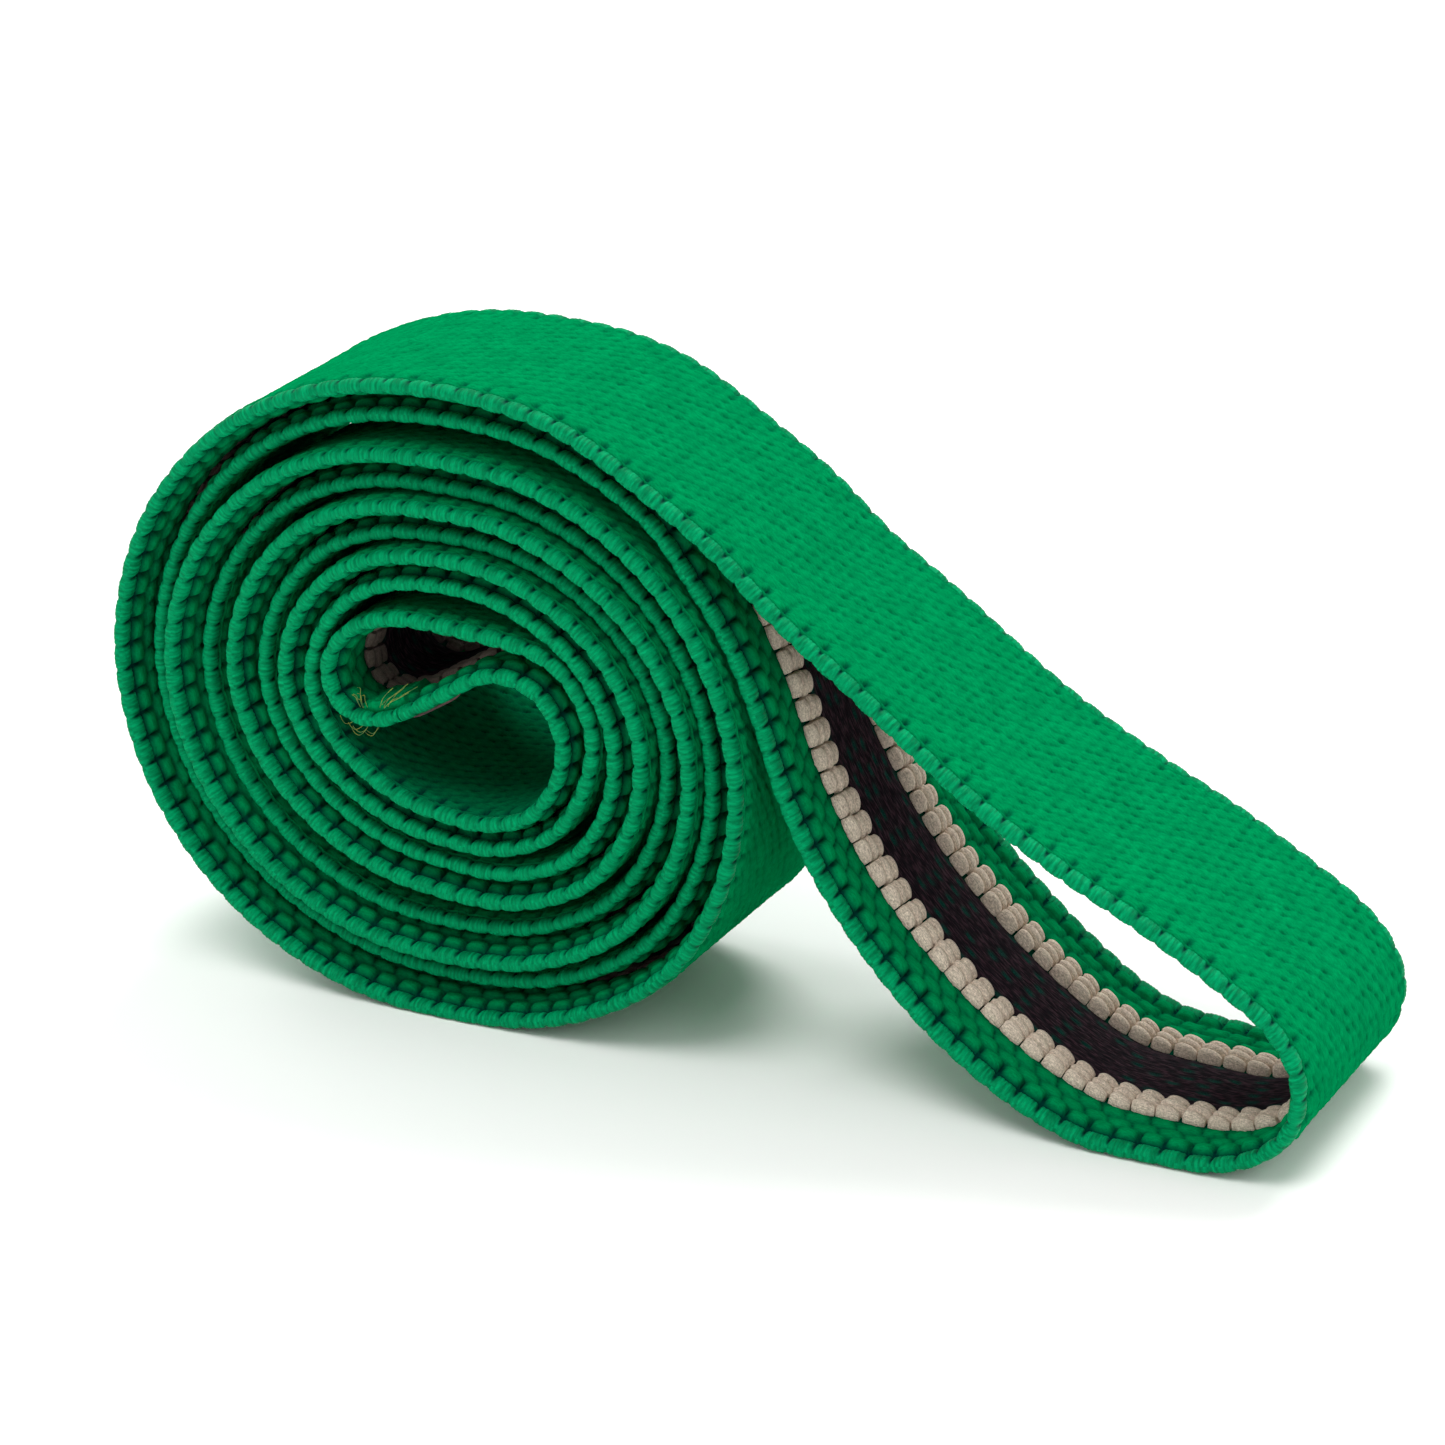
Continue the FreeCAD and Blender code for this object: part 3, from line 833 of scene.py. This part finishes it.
free_pieces = {
    "cloth": cloth("cloth_free", *free_range, FINE_STEP, True, True, GREEN),
    "stripe": stripe("stripe_free", *free_range, 0.45, 96, STRIPE),
}
for label, side in (("near", -1), ("far", 1)):
    free_pieces["beads_" + label] = beads("beads_%s_free" % label, *free_range, side, 16, 11, BEADS)
    free_pieces["edge_" + label] = rope("edge_%s_free" % label, *free_range, ROPE_STEP, side, EDGE)
for piece in free_pieces.values():
    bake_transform(piece)

# ------------------------------------------------------------------ join in the heart of the roll
LAP_START = SEAM - 7.5
lap_s = steps(LAP_START, SEAM + 1.0, 0.3)
lap_y = np.linspace(-20.6, 19.6, 90)
ragged = 0.5 * (chance(np.round(lap_y * 2), 0 * lap_y, 21) - 0.5)
taper = smooth(lap_s, LAP_START, SEAM - 5.5)[:, None]
weave = outer_relief(lap_s[:, None] * 1.3, lap_y[None, :])[0]
margin = smooth(np.abs(lap_y), 12.2, 13.4)[None, :]
top = HALF_T - 0.25 + (0.9 + 0.75 * taper + 0.5 * weave) * margin
under = np.full_like(top, HALF_T - 0.5)
lap_around = np.concatenate([lap_y, lap_y[::-1]])
lap_points = place(
    np.concatenate([lap_s[:, None] + ragged[None, :] * (1 - taper)] * 2, axis=1),
    lap_around[None, :],
    np.concatenate([top, under], axis=1))
lap_points = lap_points[:, ::-1]
# the whole lap is painted a little darker, evenly, through the value that paints shade in the hollows
lap = tube("join_lap", lap_s, lap_points, lap_around, GREEN, np.full(lap_points.shape[:2], 0.15))
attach(lap, "roll")

# the cut edge of the latex ply shows as a thin brown line under the wrapped edge, just past the join
ply_s = steps(SEAM + 0.6, SEAM + 10.0, 0.3)
ply_y = np.array([-20.3, -19.9, -19.9, -20.3])
ply_fade = (1 - np.abs(2 * (ply_s - ply_s[0]) / (ply_s[-1] - ply_s[0]) - 1) ** 6)[:, None]
ply_offset = -HALF_T - np.array([[0.0, 0.0, 0.42, 0.46]]) * (0.3 + 0.7 * ply_fade)
ply_points = place(ply_s[:, None], ply_y[None, :], ply_offset)[:, ::-1]
ply = tube("join_ply_edge", ply_s, ply_points, ply_y, LATEX_EDGE)
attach(ply, "roll")


def curl(name, points, radius, material):
    """Thin bent thread through points (s, y, offset) near the join."""
    curve = bpy.data.curves.new(name, "CURVE")
    curve.dimensions = "3D"
    curve.bevel_depth = radius
    curve.bevel_resolution = 2
    spline = curve.splines.new("NURBS")
    spline.points.add(len(points) - 1)
    spots = place(*np.array(points, float).T)
    for point, spot in zip(spline.points, spots):
        point.co = (*spot, 1.0)
    spline.use_endpoint_u = True
    spline.order_u = 3
    curve.materials.append(material)
    return curve


def threads(name, strands, radius, material):
    """Several thin threads joined into one mesh piece."""
    meshes = []
    for number, points in enumerate(strands):
        curve = curl("%s_%d" % (name, number), points, radius, material)
        holder = bpy.data.objects.new(curve.name, curve)
        bpy.context.scene.collection.objects.link(holder)
        depsgraph = bpy.context.evaluated_depsgraph_get()
        meshes.append(bpy.data.meshes.new_from_object(holder.evaluated_get(depsgraph)))
        bpy.data.objects.remove(holder)
        bpy.data.curves.remove(curve)
    verts, faces, base = [], [], 0
    for mesh in meshes:
        verts += [tuple(v.co) for v in mesh.vertices]
        faces += [tuple(base + i for i in polygon.vertices) for polygon in mesh.polygons]
        base += len(mesh.vertices)
        bpy.data.meshes.remove(mesh)
    joined = bpy.data.meshes.new(name)
    joined.from_pydata(verts, [], faces)
    joined.polygons.foreach_set("use_smooth", [True] * len(joined.polygons))
    joined.materials.append(material)
    obj = bpy.data.objects.new(name, joined)
    bpy.context.scene.collection.objects.link(obj)
    return obj


# frayed ends: long ones beside the join, short ones at the lap's start, and some on the other face
FRAY_RADIUS, STITCH_RADIUS = 0.00005, 0.00018   # metres
rng = np.random.default_rng(SEED)
fray = []
for _ in range(9):
    s0 = SEAM - 1.5 + rng.uniform(-2.5, 2.0)
    y0 = -21.4 + rng.uniform(-0.3, 1.2)
    reach = rng.uniform(2.5, 5.5)
    lift = rng.uniform(0.4, 2.4)
    fray.append([(s0, y0, HALF_T + 0.6), (s0 + 0.3 * reach, y0 - 0.3, HALF_T + 0.9 + 0.4 * lift),
                 (s0 + 0.7 * reach, y0 + rng.uniform(-0.5, 0.3), HALF_T + 0.7 + 0.8 * lift),
                 (s0 + reach, y0 + rng.uniform(-0.4, 0.8), HALF_T + 0.6 + lift)])
for _ in range(6):
    s0 = LAP_START + rng.uniform(-1.0, 1.0)
    y0 = -21.2 + rng.uniform(-0.3, 1.0)
    reach = -rng.uniform(1.0, 3.0)
    lift = rng.uniform(0.8, 2.6)
    fray.append([(s0, y0, HALF_T + 0.5), (s0 + 0.3 * reach, y0 - 0.3, HALF_T + 0.6 + 0.5 * lift),
                 (s0 + 0.6 * reach, y0, HALF_T + 0.5 + lift),
                 (s0 + reach, y0 + 0.5, HALF_T + 0.3 + 0.7 * lift)])
for _ in range(6):
    s0 = SEAM - 6.5 + rng.uniform(-2.0, 2.0)
    y0 = -21.2 + rng.uniform(-0.3, 0.8)
    drop = rng.uniform(0.8, 2.2)
    fray.append([(s0, y0, -HALF_T - 0.2), (s0 - 0.4, y0 - 0.4, -HALF_T - 0.4 - 0.5 * drop),
                 (s0 - 1.2, y0 - 0.2, -HALF_T - 0.3 - drop),
                 (s0 - 2.0, y0 + 0.2, -HALF_T - 0.1 - 0.8 * drop)])
frayed = threads("join_frayed_ends", fray, FRAY_RADIUS, FRAY)
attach(frayed, "roll")

stitches = []
for s0 in (SEAM - 4.0, SEAM + 1.8):
    for y0 in np.arange(-18.6, 18.7, 1.9):
        stitches.append([(s0, y0, -HALF_T + 0.1), (s0 + 0.1, y0 + 0.35, -HALF_T - 0.32),
                         (s0 + 0.1, y0 + 1.1, -HALF_T - 0.32), (s0, y0 + 1.45, -HALF_T + 0.1)])
stitched = threads("join_stitches", stitches, STITCH_RADIUS, STITCH)
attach(stitched, "roll")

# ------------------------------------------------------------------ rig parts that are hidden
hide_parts(*named("roll_", "weave"), *named("roll_", "latex"))
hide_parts("roll_centre_stripe")
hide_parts("roll_grip_rib_near")
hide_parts("roll_grip_rib_far")
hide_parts("roll_selvedge_near")
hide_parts("roll_selvedge_far")
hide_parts(*named("run_", "weave"), *named("loop_end", "weave"),
            *named("run_", "latex"), *named("loop_end", "latex"))
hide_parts(*named("run_", "stripe"), *named("loop_end", "stripe"))
for label in ("near", "far"):
    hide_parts(*named("run_", "rib_" + label),
                *named("loop_end", "rib_" + label))
    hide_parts(*named("run_", "selvedge_" + label),
                *named("loop_end", "selvedge_" + label))
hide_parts("join_lap_ply")
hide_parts("join_stitch_rows")

# ------------------------------------------------------------------ floor, camera, light
bpy.ops.mesh.primitive_plane_add(size=6.0, location=(0, 0, 0))
floor = bpy.context.object
floor.name = "floor"
floor_material, _, _, shader = new_material("floor")
shader.inputs["Base Color"].default_value = (0.99, 1.0, 0.99, 1.0)
shader.inputs["Roughness"].default_value = 0.65
shader.inputs["Specular IOR Level"].default_value = 0.2
floor.data.materials.append(floor_material)

# A white wall all round, seen by the camera only, so that the light is the same with or without it.
bpy.ops.mesh.primitive_cylinder_add(vertices=96, radius=2.9, depth=3.0, end_fill_type="NOTHING",
                                    location=(0, 0, 1.4))
backdrop = bpy.context.object
backdrop.name = "backdrop"
backdrop_material, _, _, shader = new_material("backdrop")
shader.inputs["Base Color"].default_value = (1.0, 1.0, 1.0, 1.0)
shader.inputs["Emission Color"].default_value = (1.0, 1.0, 1.0, 1.0)
shader.inputs["Emission Strength"].default_value = 1.0
backdrop.data.materials.append(backdrop_material)
backdrop.visible_diffuse = False
backdrop.visible_glossy = False
backdrop.visible_transmission = False
backdrop.visible_shadow = False

AZIMUTH, ELEVATION = math.radians(24.4), math.radians(22.1)
DISTANCE = 0.584
target = np.array([-3.25, 0.0, 45.95]) * 0.001
back = np.array([math.sin(AZIMUTH) * math.cos(ELEVATION), -math.cos(AZIMUTH) * math.cos(ELEVATION),
                 math.sin(ELEVATION)])
camera_data = bpy.data.cameras.new("camera")
camera_data.sensor_width = 36.0
camera_data.lens = 98.58
camera = bpy.data.objects.new("camera", camera_data)
bpy.context.scene.collection.objects.link(camera)
camera.location = tuple(target + DISTANCE * back)
camera.rotation_euler = (math.pi / 2 - ELEVATION, 0.0, AZIMUTH)
camera_data.clip_start = 0.01
bpy.context.scene.camera = camera


def soft_light(name, azimuth, elevation, spread_angle, strength, colour):
    """Even light from far away, as wide as spread_angle degrees."""
    light = bpy.data.lights.new(name, "SUN")
    light.angle = math.radians(spread_angle)
    light.energy = strength
    light.color = colour
    obj = bpy.data.objects.new(name, light)
    bpy.context.scene.collection.objects.link(obj)
    obj.rotation_euler = (math.pi / 2 - math.radians(elevation), 0.0, math.radians(azimuth))


soft_light("key_back", 172, 56, 28, 1.55, (1.0, 1.0, 0.98))
soft_light("key_front", -12, 66, 28, 1.14, (1.0, 1.0, 0.98))
soft_light("front", -30, 22, 40, 0.12, (1.0, 1.0, 1.0))
soft_light("rim", -105, 42, 30, 0.50, (0.97, 1.0, 1.0))
soft_light("side", 80, 42, 40, 0.42, (1.0, 1.0, 1.0))

world = bpy.data.worlds.new("studio")
world.use_nodes = True
world.node_tree.nodes["Background"].inputs["Color"].default_value = (1.0, 1.0, 1.0, 1.0)
world.node_tree.nodes["Background"].inputs["Strength"].default_value = 0.62
bpy.context.scene.world = world
bpy.context.scene.view_settings.view_transform = "Standard"
